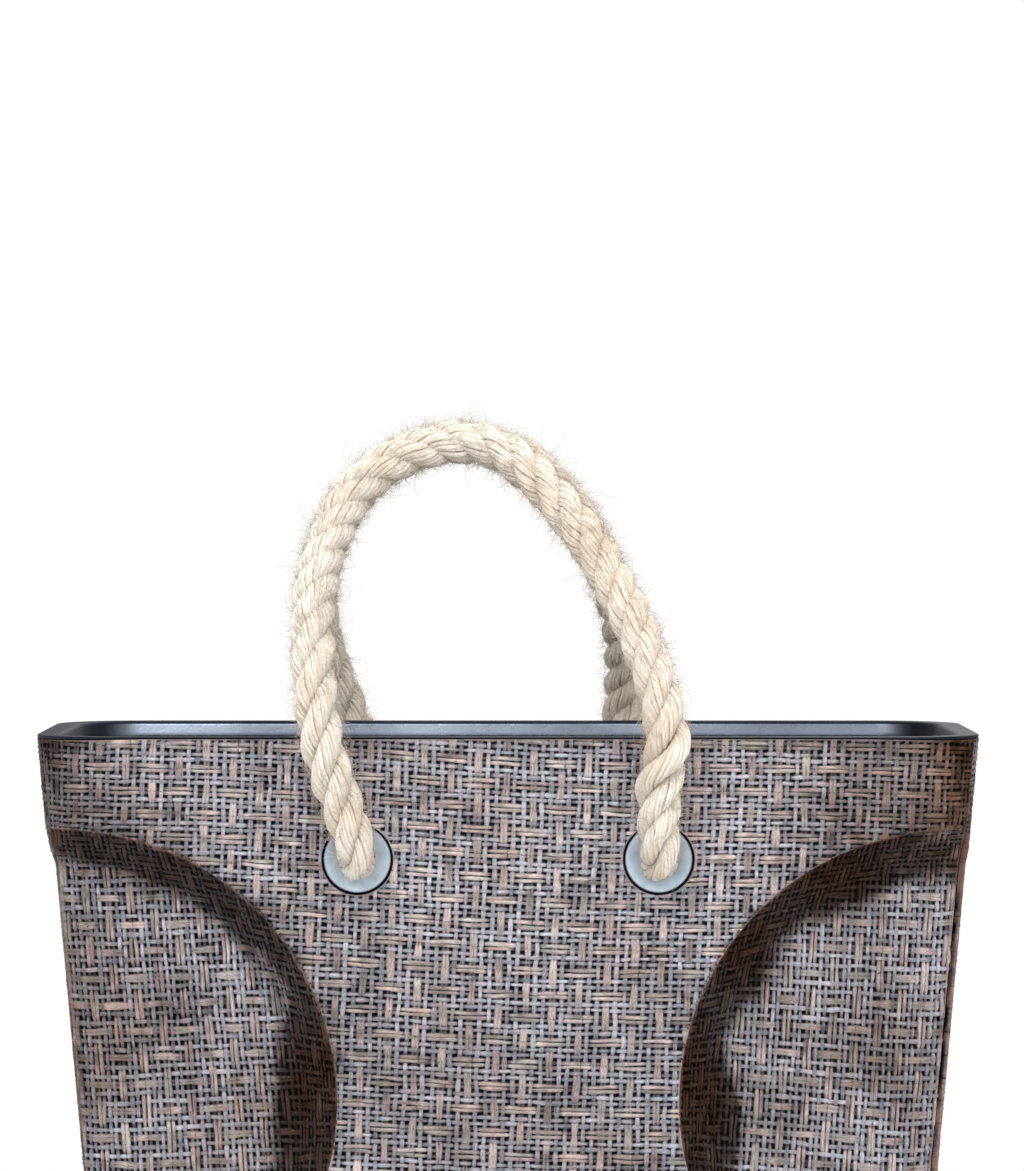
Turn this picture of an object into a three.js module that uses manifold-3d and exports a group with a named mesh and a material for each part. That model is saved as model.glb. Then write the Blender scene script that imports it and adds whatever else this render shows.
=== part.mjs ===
// A tote-shaped basket: a moulded tub with a glossy rim, cloth skins on its outside, dented lower
// corners lined with cloth of their own, four dished eyelets, and two twisted-rope handles.
// Millimetres, +Z up, front towards -Y. The origin is at the middle of the underside.
import * as THREE from "three";
import { mergeVertices } from "three/addons/utils/BufferGeometryUtils.js";
import Module from "manifold-3d";

const wasm = await Module();
wasm.setup();

// Overall size, over the cloth.
const RIM_WIDTH = 408;
const RIM_DEPTH = 180;
const BASE_WIDTH = 354;
const BASE_DEPTH = 155;
const HEIGHT = 311;
const CORNER_RADIUS = 36;
const INNER_RADIUS = 6;
const GAP = 0.3;

// Layers of the wall, from the outside in.
const SKIN = 3;
const WALL = 5;
const FLOOR = 5;
const FOOT_HEIGHT = 3;
const FOOT_RADIUS = 11;
const FOOT_INSET = 36;
const LIP_HEIGHT = 1.6;
const BEAD_HEIGHT = 8;
const BEAD_INSET = 12;
const MOUTH_CLEARANCE = 5;
const LINER_INSET = SKIN + GAP;
const CAVITY_INSET = LINER_INSET + WALL;

// The dents: round hollows centred on the side edges, with a sloping wall.
const DENT_RADIUS = 117;
const DENT_DEPTH = 22;
const DENT_WALL_RUN = 17;
const DENT_HEIGHT = 154;
const DENT_REACH_OUT = 12;
const SEAM_INSET = 3;

// Eyelets, in the plane of the front or back face.
const EYELET_X = 64.5;
const EYELET_Z = 258.5;
const EYELET_HOLE = 9;
const EYELET_RIM = 14.3;
const EYELET_BARREL = 11;
const EYELET_SINK = 0.4;
const DISH_DEPTH = 3.9;
const DISH_STEPS = 4;
const SKIN_HOLE = 15.4;
const WASHER_RADIUS = 16;
const WASHER_THICK = 1.5;

// Rope.
const ROPE_RADIUS = 10;
const ROPE_NECK = 8.6;
const PIVOT_OUT = 14;
const KNOT_RADIUS = 22;
const KNOT_LENGTH = 42;
const KNOT_STUB = 16;
const KNOT_STEPS = 8;
const KNOT_END_SHARE = 0.12;
const ROPE_SIDES = 10;
const ROPE_STEPS = 40;
const BALL_RINGS = 8;

const ROUND = 24;
const DENT_ROUND = 48;
const CORNER_STEPS = 6;
const FAR = 400;

// Cutters overlap what they cut by a little, and drills reach this far out of and into a face.
const OVERLAP = 1;
const DRILL_OUT = 20;
const DRILL_IN = 60;

const CLOTH = { color: 0x8c8084, roughness: 0.85, metalness: 0 };
const TUB = { color: 0x14161c, roughness: 0.25, metalness: 0 };
const METAL = { color: 0x9aa6b2, roughness: 0.4, metalness: 0.8 };
const JUTE = { color: 0xd8c7a4, roughness: 0.95, metalness: 0 };
const PAD = { color: 0x202022, roughness: 0.9, metalness: 0 };

const basket = new THREE.Group();

// A closed solid for cutting and joining, from a mesh.
function toManifold(geometry) {
  const bare = geometry.clone();
  bare.deleteAttribute("normal");
  bare.deleteAttribute("uv");
  const merged = mergeVertices(bare, 1e-4);
  return new wasm.Manifold(new wasm.Mesh({
    numProp: 3,
    vertProperties: new Float32Array(merged.attributes.position.array),
    triVerts: new Uint32Array(merged.index.array),
  }));
}

// A mesh from a closed solid.
function toGeometry(solid) {
  const mesh = solid.getMesh();
  const geometry = new THREE.BufferGeometry();
  geometry.setAttribute("position", new THREE.BufferAttribute(mesh.vertProperties, 3));
  geometry.setIndex(new THREE.BufferAttribute(mesh.triVerts, 1));
  geometry.computeVertexNormals();
  return geometry;
}

function addPart(name, geometry, look, parent = basket) {
  const mesh = new THREE.Mesh(geometry, new THREE.MeshStandardMaterial(look));
  mesh.name = name;
  parent.add(mesh);
  return mesh;
}

const halfWidth = (z) => (BASE_WIDTH + (RIM_WIDTH - BASE_WIDTH) * (z / HEIGHT)) / 2;
const halfDepth = (z) => (BASE_DEPTH + (RIM_DEPTH - BASE_DEPTH) * (z / HEIGHT)) / 2;

// A ring of points round a rectangle with round corners, counter-clockwise.
function roundedRing(halfX, halfY, radius, z) {
  const points = [];
  for (let corner = 0; corner < 4; corner += 1) {
    const signX = corner === 0 || corner === 3 ? 1 : -1;
    const signY = corner < 2 ? 1 : -1;
    for (let step = 0; step <= CORNER_STEPS; step += 1) {
      const turn = (corner + step / CORNER_STEPS) * (Math.PI / 2);
      const x = signX * (halfX - radius) + radius * Math.cos(turn);
      const y = signY * (halfY - radius) + radius * Math.sin(turn);
      points.push([x, y, z]);
    }
  }
  return points;
}

// The tapered block of the basket, moved in from the outside by an inset, between two heights.
function taperedBlock(inset, low, high) {
  const radius = Math.max(CORNER_RADIUS - inset, INNER_RADIUS);
  const rings = [low, high].map((z) => roundedRing(halfWidth(z) - inset, halfDepth(z) - inset, radius, z));
  const count = rings[0].length;
  const vertices = [...rings[0], ...rings[1], [0, 0, low], [0, 0, high]];
  const index = [];
  for (let i = 0; i < count; i += 1) {
    const next = (i + 1) % count;
    index.push(i, next, count + next);
    index.push(i, count + next, count + i);
    index.push(2 * count, next, i);
    index.push(2 * count + 1, count + i, count + next);
  }
  const geometry = new THREE.BufferGeometry();
  geometry.setAttribute("position", new THREE.Float32BufferAttribute(vertices.flat(), 3));
  geometry.setIndex(index);
  return toManifold(geometry);
}

// A face frame: +X along the face, +Y up the face, +Z out of the face.
function faceFrame(side, z) {
  const lean = Math.atan((RIM_DEPTH - BASE_DEPTH) / 2 / HEIGHT);
  const out = new THREE.Vector3(0, side * Math.cos(lean), -Math.sin(lean));
  const up = new THREE.Vector3(0, side * Math.sin(lean), Math.cos(lean));
  const across = new THREE.Vector3().crossVectors(up, out);
  const frame = new THREE.Matrix4().makeBasis(across, up, out);
  return frame.setPosition(0, side * halfDepth(z), z);
}

// A solid of revolution about the face's normal; its profile is pairs of radius and height out of the face.
function turned(profile, side, x, z, segments = ROUND) {
  const points = profile.map(([radius, out]) => new THREE.Vector2(radius, out));
  const geometry = new THREE.LatheGeometry(points, segments);
  geometry.rotateX(Math.PI / 2);
  geometry.applyMatrix4(faceFrame(side, z));
  geometry.translate(x, 0, 0);
  return geometry;
}

// The hollow of one dent, grown by an inset into the wall.
function dentHollow(inset, side, hand) {
  const slant = Math.hypot(DENT_DEPTH, DENT_WALL_RUN);
  const grow = (inset * slant) / DENT_DEPTH;
  const radiusAt = (out) => DENT_RADIUS + grow + (out * DENT_WALL_RUN) / DENT_DEPTH;
  const bottom = -(DENT_DEPTH + inset);
  const top = DENT_REACH_OUT;
  const profile = [[0, bottom], [radiusAt(bottom), bottom], [radiusAt(top), top], [0, top], [0, bottom]];
  return toManifold(turned(profile, side, hand * halfWidth(DENT_HEIGHT), DENT_HEIGHT, DENT_ROUND));
}

// A drill through a face, about the face's normal.
function faceCylinder(radius, side, x, z, segments) {
  const profile = [[0, -DRILL_IN], [radius, -DRILL_IN], [radius, DRILL_OUT], [0, DRILL_OUT], [0, -DRILL_IN]];
  return toManifold(turned(profile, side, x, z, segments));
}

const SIDES = [["front", -1], ["back", 1]];
const HANDS = [["left", -1], ["right", 1]];

// The basket's solid outline with its four dents, moved in by an inset.
function outline(inset, low, high) {
  let solid = taperedBlock(inset, low, high);
  for (const [, side] of SIDES) {
    for (const [, hand] of HANDS) {
      solid = solid.subtract(dentHollow(inset, side, hand));
    }
  }
  return solid;
}

// The space beyond a seam that runs up the side, a set distance in from the widest point.
function sideSpace(hand, inset) {
  const lean = Math.atan((RIM_WIDTH - BASE_WIDTH) / 2 / HEIGHT);
  const box = new THREE.BoxGeometry(FAR, FAR, 2 * FAR);
  box.translate(FAR / 2, 0, 0);
  box.rotateY(lean);
  box.translate(BASE_WIDTH / 2 - inset, 0, 0);
  if (hand < 0) {
    box.rotateZ(Math.PI);
  }
  return toManifold(box);
}

// Everything on the front or the back side of the middle.
function halfSpaceY(side) {
  const box = new THREE.BoxGeometry(2 * FAR, FAR, 2 * FAR);
  box.translate(0, (side * FAR) / 2, 0);
  return toManifold(box);
}

// The cloth: a shell round the tub, cut at its seams into side panels, dent linings and the two faces.
function addSkins() {
  const top = HEIGHT - LIP_HEIGHT - GAP;
  const shell = outline(0, FOOT_HEIGHT, top).subtract(outline(SKIN, FOOT_HEIGHT - OVERLAP, top + OVERLAP));
  let middle = shell;
  for (const [handName, hand] of HANDS) {
    addPart(`woven_${handName}`, toGeometry(shell.intersect(sideSpace(hand, SEAM_INSET))), CLOTH);
    middle = middle.subtract(sideSpace(hand, SEAM_INSET + GAP));
  }
  for (const [sideName, side] of SIDES) {
    let face = middle.intersect(halfSpaceY(side));
    for (const [handName, hand] of HANDS) {
      const x = hand * halfWidth(DENT_HEIGHT);
      const patch = face.intersect(faceCylinder(DENT_RADIUS - 2 * GAP, side, x, DENT_HEIGHT, DENT_ROUND));
      addPart(`woven_dent_${sideName}_${handName}`, toGeometry(patch), CLOTH);
    }
    for (const [, hand] of HANDS) {
      const x = hand * halfWidth(DENT_HEIGHT);
      face = face.subtract(faceCylinder(DENT_RADIUS - GAP, side, x, DENT_HEIGHT, DENT_ROUND));
      face = face.subtract(faceCylinder(SKIN_HOLE, side, hand * EYELET_X, EYELET_Z, ROUND));
    }
    addPart(`woven_${sideName}`, toGeometry(face), CLOTH);
  }
}

// The moulded tub, with a lip over the cloth's top edge and a bead inside the rim.
function addTub() {
  const lipLow = HEIGHT - LIP_HEIGHT;
  const beadLow = HEIGHT - BEAD_HEIGHT;
  const lip = taperedBlock(0, lipLow, HEIGHT);
  const body = outline(LINER_INSET, FOOT_HEIGHT, lipLow + LIP_HEIGHT / 2).add(lip);
  const hollow = outline(CAVITY_INSET, FOOT_HEIGHT + FLOOR, beadLow);
  const mouth = taperedBlock(BEAD_INSET, beadLow - OVERLAP, HEIGHT + MOUTH_CLEARANCE);
  let tub = body.subtract(hollow.add(mouth));
  for (const [, side] of SIDES) {
    for (const [, hand] of HANDS) {
      tub = tub.subtract(faceCylinder(EYELET_BARREL + GAP, side, hand * EYELET_X, EYELET_Z, ROUND));
    }
  }
  addPart("liner_tub", toGeometry(tub), TUB);
}

// Four round pads that the basket stands on.
function addFeet() {
  for (const [sideName, side] of SIDES) {
    for (const [handName, hand] of HANDS) {
      const height = FOOT_HEIGHT - GAP;
      const foot = new THREE.CylinderGeometry(FOOT_RADIUS, FOOT_RADIUS, height, ROUND);
      foot.rotateX(Math.PI / 2);
      const mesh = addPart(`foot_${sideName}_${handName}`, foot, PAD);
      const x = hand * (BASE_WIDTH / 2 - FOOT_INSET);
      const y = side * (BASE_DEPTH / 2 - FOOT_INSET);
      mesh.position.set(x, y, height / 2);
    }
  }
}

// The dished ring and its barrel, which goes through the tub's wall.
function eyeletProfile() {
  const inner = -(CAVITY_INSET + WASHER_THICK);
  const dish = [];
  for (let step = 0; step <= DISH_STEPS; step += 1) {
    const share = step / DISH_STEPS;
    const radius = EYELET_RIM + (EYELET_HOLE - EYELET_RIM) * share;
    dish.push([radius, -EYELET_SINK - DISH_DEPTH * Math.sin((share * Math.PI) / 2)]);
  }
  const barrel = [[EYELET_HOLE, inner], [EYELET_BARREL, inner], [EYELET_BARREL, -SKIN], [EYELET_RIM, -SKIN]];
  return [...dish, ...barrel, dish[0]];
}

function washerProfile() {
  const outer = -(CAVITY_INSET + GAP);
  const inner = outer - WASHER_THICK;
  const hole = EYELET_BARREL + GAP;
  return [[hole, inner], [WASHER_RADIUS, inner], [WASHER_RADIUS, outer], [hole, outer], [hole, inner]];
}

// The plain outer shape of a stopper knot and the short rope end beyond it.
function knotProfile() {
  const start = -(CAVITY_INSET + WASHER_THICK + 2 * GAP);
  const profile = [[0, start]];
  for (let step = 0; step <= KNOT_STEPS; step += 1) {
    const share = step / KNOT_STEPS;
    const turn = Math.PI * (KNOT_END_SHARE + (1 - 2 * KNOT_END_SHARE) * share);
    const swell = Math.sqrt(Math.sin(turn));
    profile.push([KNOT_RADIUS * swell, start - KNOT_LENGTH * share]);
  }
  profile.push([ROPE_RADIUS, start - KNOT_LENGTH]);
  profile.push([ROPE_RADIUS, start - KNOT_LENGTH - KNOT_STUB]);
  profile.push([0, start - KNOT_LENGTH - KNOT_STUB]);
  return profile.reverse();
}

// The stretch of rope that goes through an eyelet, from its knot to just short of the turning point.
function ropeEndProfile() {
  const inner = -(CAVITY_INSET + WASHER_THICK + GAP);
  const outer = PIVOT_OUT - ROPE_RADIUS - GAP;
  return [[0, inner], [ROPE_NECK, inner], [ROPE_NECK, outer], [0, outer]];
}

// An eyelet, a washer, a knot and the rope between them, at each of the four holes.
function addFittings() {
  for (const [sideName, side] of SIDES) {
    for (const [handName, hand] of HANDS) {
      const place = `${sideName}_${handName}`;
      const x = hand * EYELET_X;
      addPart(`eyelet_${place}`, turned(eyeletProfile(), side, x, EYELET_Z), METAL);
      addPart(`washer_${place}`, turned(washerProfile(), side, x, EYELET_Z), METAL);
      addPart(`knot_${place}`, turned(knotProfile(), side, x, EYELET_Z, ROPE_SIDES), JUTE);
      addPart(`rope_end_${place}`, turned(ropeEndProfile(), side, x, EYELET_Z, ROPE_SIDES), JUTE);
    }
  }
}

// The routes of the two handles, as distances along X and Z and towards the middle from the turning line.
const FRONT_ROUTE = [
  [-64.5, 0, 258.5], [-67, 0, 271], [-71.5, 0, 286], [-77, 0, 302], [-81, 1.5, 320],
  [-83, 9, 342], [-83.5, 25, 365], [-80, 46, 388], [-71.5, 64, 409], [-58.5, 76.5, 424],
  [-41.5, 85, 433.5], [-22, 90, 438], [-3, 88, 433.5], [15.5, 76, 418.5], [33.5, 57, 396.5],
  [47.5, 37, 372.5], [58, 18, 350], [64.5, 5, 328], [67, 0.5, 309], [65, 0, 290],
  [64, 0, 273], [64.5, 0, 258.5],
];
const BACK_ROUTE = [
  [-64.5, 0, 258.5], [-62, 0, 274.5], [-66, 0, 289.5], [-70.5, 0, 305.5], [-77, 3, 324],
  [-84, 14, 344.5], [-87, 31, 366.5], [-83, 50, 388.5], [-73, 67, 409], [-58, 80, 425],
  [-39, 88, 435], [-18, 90, 438], [3, 86, 432], [21, 76, 418], [37, 59, 395.5],
  [48, 38, 369.5], [53, 18, 346.5], [53.5, 5, 327], [52.5, 0.5, 310], [54, 0, 293.5],
  [57.5, 0, 276.5], [64.5, 0, 258.5],
];

// The distance along Y of the turning line of a handle.
function pivotY(side) {
  return new THREE.Vector3(0, 0, PIVOT_OUT).applyMatrix4(faceFrame(side, EYELET_Z)).y;
}

// A rope along its route, with a round end at each eyelet.
function addHandle(name, side, route) {
  const start = pivotY(side);
  const points = route.map(([x, inward, z]) => new THREE.Vector3(x, start - side * inward, z));
  const path = new THREE.CatmullRomCurve3(points, false, "centripetal");
  const section = new THREE.Shape();
  section.absarc(0, 0, ROPE_RADIUS, 0, 2 * Math.PI, false);
  const tube = new THREE.ExtrudeGeometry(section, {
    steps: ROPE_STEPS, curveSegments: ROPE_SIDES / 2, bevelEnabled: false, extrudePath: path,
  });
  let rope = toManifold(tube);
  for (const end of [points[0], points[points.length - 1]]) {
    const ball = new THREE.SphereGeometry(ROPE_RADIUS, ROPE_SIDES, BALL_RINGS);
    ball.translate(end.x, end.y, end.z);
    rope = rope.add(toManifold(ball));
  }
  addPart(name, toGeometry(rope), JUTE);
}

addSkins();
addTub();
addFeet();
addFittings();
addHandle("rope_front", -1, FRONT_ROUTE);
addHandle("rope_back", 1, BACK_ROUTE);

export default basket;
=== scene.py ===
import math

import bpy
import numpy as np
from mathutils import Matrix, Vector


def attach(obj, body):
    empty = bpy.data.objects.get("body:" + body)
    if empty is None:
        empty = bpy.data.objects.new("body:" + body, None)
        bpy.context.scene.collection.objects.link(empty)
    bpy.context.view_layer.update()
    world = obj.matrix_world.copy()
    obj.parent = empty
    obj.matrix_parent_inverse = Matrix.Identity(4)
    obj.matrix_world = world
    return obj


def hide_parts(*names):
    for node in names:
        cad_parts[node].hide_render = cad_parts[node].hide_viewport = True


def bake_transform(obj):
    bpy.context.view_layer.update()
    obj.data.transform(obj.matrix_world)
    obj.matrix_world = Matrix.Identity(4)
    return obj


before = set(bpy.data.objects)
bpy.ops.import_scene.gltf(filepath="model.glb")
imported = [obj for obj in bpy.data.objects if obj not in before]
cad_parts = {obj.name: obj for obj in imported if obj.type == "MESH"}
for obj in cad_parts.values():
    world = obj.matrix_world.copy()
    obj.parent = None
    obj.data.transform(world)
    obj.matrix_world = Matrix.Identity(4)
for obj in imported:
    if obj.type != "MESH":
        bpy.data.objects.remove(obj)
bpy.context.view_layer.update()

# A tote-shaped basket: a glossy tub, cloth skins with a raised basket weave, dented lower corners
# lined with cloth turned a quarter, dished eyelets and two handles of three-strand rope.
# Sizes below are in millimetres, +Z up, front towards -Y, as in the frame. They become metres
# when a mesh is made.
MM = 0.001

# Overall size, over the cloth.
RIM_WIDTH = 408
RIM_DEPTH = 180
BASE_WIDTH = 354
BASE_DEPTH = 155
HEIGHT = 311
CORNER_RADIUS = 36
INNER_RADIUS = 6

# Layers of the wall.
SKIN = 3
LINER_INSET = 3.3
CAVITY_INSET = 8.3
FLOOR_TOP = 8
COVE = 4
FOOT_HEIGHT = 3
FOOT_RADIUS = 11
FOOT_INSET = 36
LIP_HEIGHT = 0.9
BEAD_HEIGHT = 8
BEAD_INSET = 12

# Dents.
DENT_RADIUS = 117
DENT_DEPTH = 22
DENT_WALL_RUN = 17
DENT_Z = 154
SEAM_INSET = 3
SIDE_WAIST = 2.2

# Eyelets, knots and rope.
EYELET_X = 64.5
EYELET_Z = 258.5
EYELET_HOLE = 7.6
EYELET_RIM = 14.3
EYELET_BARREL = 11
SKIN_HOLE = 15.4
WASHER_RADIUS = 16
WASHER_THICK = 1.5
PIVOT_OUT = 14
ROPE_LAY = 48.7

SIDES = (("front", -1), ("back", 1))
HANDS = (("left", -1), ("right", 1))


# ---------------------------------------------------------------- shapes of the basket


def half_width(z):
    return (BASE_WIDTH + (RIM_WIDTH - BASE_WIDTH) * z / HEIGHT) / 2


def half_depth(z):
    return (BASE_DEPTH + (RIM_DEPTH - BASE_DEPTH) * z / HEIGHT) / 2


def smoothstep(low, high, value):
    t = np.clip((value - low) / (high - low), 0, 1)
    return t * t * (3 - 2 * t)


def smooth_max(a, b, blend):
    """The larger of two values, rounded off where they are close."""
    h = np.clip(0.5 + 0.5 * (a - b) / blend, 0, 1)
    return b + (a - b) * h + blend * h * (1 - h)


def corner_depth(x, z):
    """How far behind the face plane the basket's outside is, where its corners round off."""
    over = np.clip((np.abs(x) - (half_width(z) - CORNER_RADIUS)) / CORNER_RADIUS, 0, 1)
    return CORNER_RADIUS * (1 - np.sqrt(1 - over * over))


def dent_distance(x, z):
    return np.hypot(np.abs(x) - half_width(DENT_Z), z - DENT_Z)


def dent_hollow(x, z):
    """How deep a dent goes below the basket's outside."""
    return np.clip((DENT_RADIUS - dent_distance(x, z)) * DENT_DEPTH / DENT_WALL_RUN, 0, DENT_DEPTH)


# ---------------------------------------------------------------- mesh helpers


def make_mesh(name, points, faces, material, values=None, vectors=None):
    """A smooth mesh object. Points are in millimetres; faces is a list of arrays, one for each face size."""
    mesh = bpy.data.meshes.new(name)
    mesh.vertices.add(len(points))
    mesh.vertices.foreach_set("co", (np.asarray(points) * MM).astype(np.float32).ravel())
    corners = np.concatenate([f.ravel() for f in faces]).astype(np.int32)
    sizes = np.concatenate([np.full(len(f), f.shape[1]) for f in faces])
    mesh.loops.add(len(corners))
    mesh.loops.foreach_set("vertex_index", corners)
    mesh.polygons.add(len(sizes))
    starts = np.concatenate([[0], np.cumsum(sizes)[:-1]]).astype(np.int32)
    mesh.polygons.foreach_set("loop_start", starts)
    mesh.polygons.foreach_set("use_smooth", np.ones(len(sizes), bool))
    for key, value in (values or {}).items():
        layer = mesh.attributes.new(key, "FLOAT", "POINT")
        layer.data.foreach_set("value", np.asarray(value, np.float32).ravel())
    for key, value in (vectors or {}).items():
        layer = mesh.attributes.new(key, "FLOAT_VECTOR", "POINT")
        layer.data.foreach_set("vector", np.asarray(value, np.float32).ravel())
    mesh.update(calc_edges=True)
    mesh.validate()
    mesh.materials.append(material)
    obj = bpy.data.objects.new(name, mesh)
    bpy.context.scene.collection.objects.link(obj)
    return obj


def grid_faces(rows, columns, closed=False):
    """Quads of a grid of points numbered row by row; closed joins the last column to the first."""
    across = columns if closed else columns - 1
    r, c = np.meshgrid(np.arange(rows - 1), np.arange(across), indexing="ij")
    after = (c + 1) % columns
    here, above = r * columns, (r + 1) * columns
    quads = np.stack([here + c, here + after, above + after, above + c], -1)
    return quads.reshape(-1, 4)


def unit(vectors):
    return vectors / np.maximum(np.linalg.norm(vectors, axis=-1, keepdims=True), 1e-12)


def wave(rng, count):
    """A smooth random function of two lengths, as a sum of slanted sine waves with lengths of 1/k."""
    angles = rng.uniform(0, math.pi, count)
    rates = rng.uniform(0.5, 2.0, count)
    starts = rng.uniform(0, 2 * math.pi, count)

    def value(u, v):
        total = 0
        for angle, rate, start in zip(angles, rates, starts):
            total = total + np.sin(rate * (u * math.cos(angle) + v * math.sin(angle)) + start)
        return total / math.sqrt(count)

    return value


# ---------------------------------------------------------------- lines and rope


def respaced(line, step):
    along = np.concatenate([[0], np.cumsum(np.linalg.norm(np.diff(line, axis=0), axis=1))])
    at = np.linspace(0, along[-1], max(2, round(along[-1] / step) + 1))
    return np.stack([np.interp(at, along, line[:, k]) for k in range(3)], axis=1)


def smooth_line(points, step):
    """An evenly stepped centripetal Catmull-Rom curve through the points."""
    points = np.asarray(points, float)
    padded = np.vstack([2 * points[0] - points[1], points, 2 * points[-1] - points[-2]])
    fine = []
    for p0, p1, p2, p3 in zip(padded, padded[1:], padded[2:], padded[3:]):
        t1 = np.linalg.norm(p1 - p0) ** 0.5
        t2 = t1 + np.linalg.norm(p2 - p1) ** 0.5
        t3 = t2 + np.linalg.norm(p3 - p2) ** 0.5
        t = np.linspace(t1, t2, 24, endpoint=False)[:, None]
        a1 = (t1 - t) / t1 * p0 + t / t1 * p1
        a2 = (t2 - t) / (t2 - t1) * p1 + (t - t1) / (t2 - t1) * p2
        a3 = (t3 - t) / (t3 - t2) * p2 + (t - t2) / (t3 - t2) * p3
        b1 = (t2 - t) / t2 * a1 + t / t2 * a2
        b2 = (t3 - t) / (t3 - t1) * a2 + (t - t1) / (t3 - t1) * a3
        fine.append((t2 - t) / (t2 - t1) * b1 + (t - t1) / (t2 - t1) * b2)
    return respaced(np.vstack(fine + [points[-1:]]), step)


def carried_frame(line, first):
    """Tangents, and two directions across the line that don't twist about it."""
    tangents = unit(np.gradient(line, axis=0))
    across = np.zeros_like(line)
    side = np.asarray(first, float)
    for i, tangent in enumerate(tangents):
        side = side - tangent * np.dot(side, tangent)
        side /= np.linalg.norm(side)
        across[i] = side
    return tangents, across, np.cross(tangents, across)


def tubes(centres, outward, radii, sides):
    """Round tubes along many lines at once: points, faces, and the angle of each point round its tube."""
    count, steps = centres.shape[:2]
    tangents = unit(np.gradient(centres, axis=1))
    normal = unit(outward - tangents * (outward * tangents).sum(-1, keepdims=True))
    binormal = np.cross(tangents, normal)
    turn = np.arange(sides) * 2 * math.pi / sides
    ring = np.cos(turn)[:, None] * normal[:, :, None] + np.sin(turn)[:, None] * binormal[:, :, None]
    points = centres[:, :, None] + radii[:, :, None, None] * ring
    quads = grid_faces(steps, sides, closed=True)
    quads = (quads[None] + (np.arange(count) * steps * sides)[:, None, None]).reshape(-1, 4)
    fan = np.array([[0, k + 1, k] for k in range(1, sides - 1)])
    first = (np.arange(count) * steps * sides)[:, None, None]
    last = first + (steps - 1) * sides
    caps = np.concatenate([(fan + first).reshape(-1, 3), (fan[:, ::-1] + last).reshape(-1, 3)])
    angles = np.broadcast_to(turn, points.shape[:3])
    return points, [quads, caps], angles


STRANDS = 3
YARNS = 13
YARN_SIDES = 6
YARN_STEP = 1.3
COUNTER_TURNS = 2.3
BARE_END = 20


def rope_mesh(name, line, girth, material, seed, bulges=()):
    """Three-strand rope along a line. Each strand is a ring of yarns that turns against the lay.
    girth is the rope's radius along the line. A bulge is (strand, place, reach, swell): one strand
    stands out there by the swell."""
    rng = np.random.default_rng(seed)
    steps = len(line)
    along = np.arange(steps) * np.linalg.norm(line[1] - line[0])
    _, across, other = carried_frame(line, (1, 0, 0))
    packing = 0.5 - 0.05 * smoothstep(60, 130, np.minimum(along, along[-1] - along))
    lay_wobble = 0.35 * np.sin(along / 41 + rng.uniform(0, 6)) + 0.2 * np.sin(along / 17 + rng.uniform(0, 6))
    centres, outward, radii, tones, marks = [], [], [], [], []
    for strand in range(STRANDS):
        turn = 2 * math.pi * (along / ROPE_LAY + strand / STRANDS) + lay_wobble
        swell = 1 + 0.05 * np.sin(along / 23 + rng.uniform(0, 6))
        swell = swell + 0.03 * np.sin(along / 9 + rng.uniform(0, 6))
        offset = packing * girth * swell
        for which, place, reach, more in bulges:
            if which == strand:
                offset = offset + more * np.exp(-(((along - place) / reach) ** 2))
        radial = np.cos(turn)[:, None] * across + np.sin(turn)[:, None] * other
        middle = line + offset[:, None] * radial
        tangent = unit(np.gradient(middle, axis=0))
        normal = unit(radial - tangent * (radial * tangent).sum(-1, keepdims=True))
        binormal = np.cross(tangent, normal)
        core = (0.885 - packing) * girth
        centres.append(middle)
        outward.append(normal)
        radii.append(core)
        tones.append(0)
        marks.append(0)
        for yarn in range(YARNS):
            angle = 2 * math.pi * (yarn / YARNS - COUNTER_TURNS * along / ROPE_LAY)
            angle = angle + 0.12 * np.sin(along / 7 + rng.uniform(0, 6))
            ring = core * (1 + 0.04 * np.sin(along / 5 + rng.uniform(0, 6)))
            direction = np.cos(angle)[:, None] * normal + np.sin(angle)[:, None] * binormal
            centres.append(middle + ring[:, None] * direction)
            outward.append(direction)
            plump = rng.uniform(0.92, 1.08) * (1 + 0.06 * np.sin(along / 4 + rng.uniform(0, 6)))
            radii.append(0.118 * girth * plump)
            tones.append(rng.uniform(-1, 1))
            marks.append(rng.uniform(0, 100))
    centres, outward, radii = np.array(centres), np.array(outward), np.array(radii)
    points, faces, angles = tubes(centres, outward, radii, YARN_SIDES)
    shape = points.shape[:3]
    points = points + rng.normal(0, 0.06, points.shape)
    from_axis = np.linalg.norm(points - line[None, :, None], axis=-1) / girth[None, :, None]
    fibre = np.stack([
        np.broadcast_to(along[None, :, None], shape),
        angles * radii[:, :, None],
        np.broadcast_to(np.array(marks)[:, None, None], shape),
    ], -1)
    tone = np.broadcast_to(np.array(tones)[:, None, None], shape)
    return make_mesh(
        name, points.reshape(-1, 3), faces, material,
        values={"tone": tone, "from_axis": from_axis}, vectors={"fibre": fibre.reshape(-1, 3)},
    )


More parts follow.
